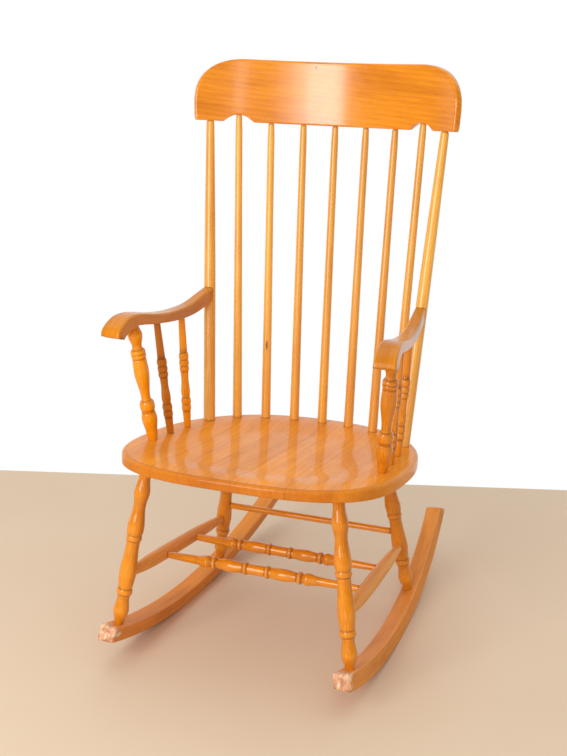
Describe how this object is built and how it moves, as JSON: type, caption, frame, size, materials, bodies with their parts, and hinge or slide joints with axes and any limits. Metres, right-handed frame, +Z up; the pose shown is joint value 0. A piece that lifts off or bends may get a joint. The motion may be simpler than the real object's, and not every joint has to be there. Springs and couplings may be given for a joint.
{
  "type": "boston rocking chair",
  "caption": "Boston rocking chair: saddled seat, tall back of slender sticks under a bent crest rail, rolled arms on turned posts, splayed turned legs and curved rockers.",
  "frame": {"origin": "bottom centre of the bounding box, on the floor plane on which the rockers stand", "axes": "+X is the sitter's left, -Y is the front of the chair, +Z is up; the chair stands at the angle at which it balances"},
  "size_m": [0.569, 0.8036, 1.1098],
  "materials": {
    "turned_wood": "honey-coloured varnish, glossy",
    "seat_wood": "honey-coloured varnish, glossy, glued from boards",
    "crest_wood": "honey-coloured varnish, satin gloss",
    "arm_wood": "brown varnish, worn satin",
    "rocker_wood": "brown varnish, worn",
    "plug_wood": "honey-coloured varnish on end grain",
    "screw_steel": "bright steel wood screw"
  },
  "bodies": {
    "root": {"arm_left": "arm_wood", "arm_post_left": "turned_wood", "arm_post_right": "turned_wood", "arm_right": "arm_wood", "arm_screw_left": "screw_steel", "arm_screw_right": "screw_steel", "arm_stick_front_left": "turned_wood", "arm_stick_front_right": "turned_wood", "arm_stick_rear_left": "turned_wood", "arm_stick_rear_right": "turned_wood", "back_post_left": "turned_wood", "back_post_right": "turned_wood", "back_stick_1": "turned_wood", "back_stick_2": "turned_wood", "back_stick_3": "turned_wood", "back_stick_4": "turned_wood", "back_stick_5": "turned_wood", "back_stick_6": "turned_wood", "back_stick_7": "turned_wood", "crest_pin_left": "plug_wood", "crest_pin_right": "plug_wood", "crest_rail": "crest_wood", "cross_stretcher_front": "turned_wood", "cross_stretcher_rear": "turned_wood", "leg_front_left": "turned_wood", "leg_front_right": "turned_wood", "leg_rear_left": "turned_wood", "leg_rear_right": "turned_wood", "rear_stretcher": "turned_wood", "rocker_left": "rocker_wood", "rocker_right": "rocker_wood", "screw_plug_left": "plug_wood", "screw_plug_right": "plug_wood", "seat": "seat_wood", "side_stretcher_left": "turned_wood", "side_stretcher_right": "turned_wood"}
  },
  "joints": []
}
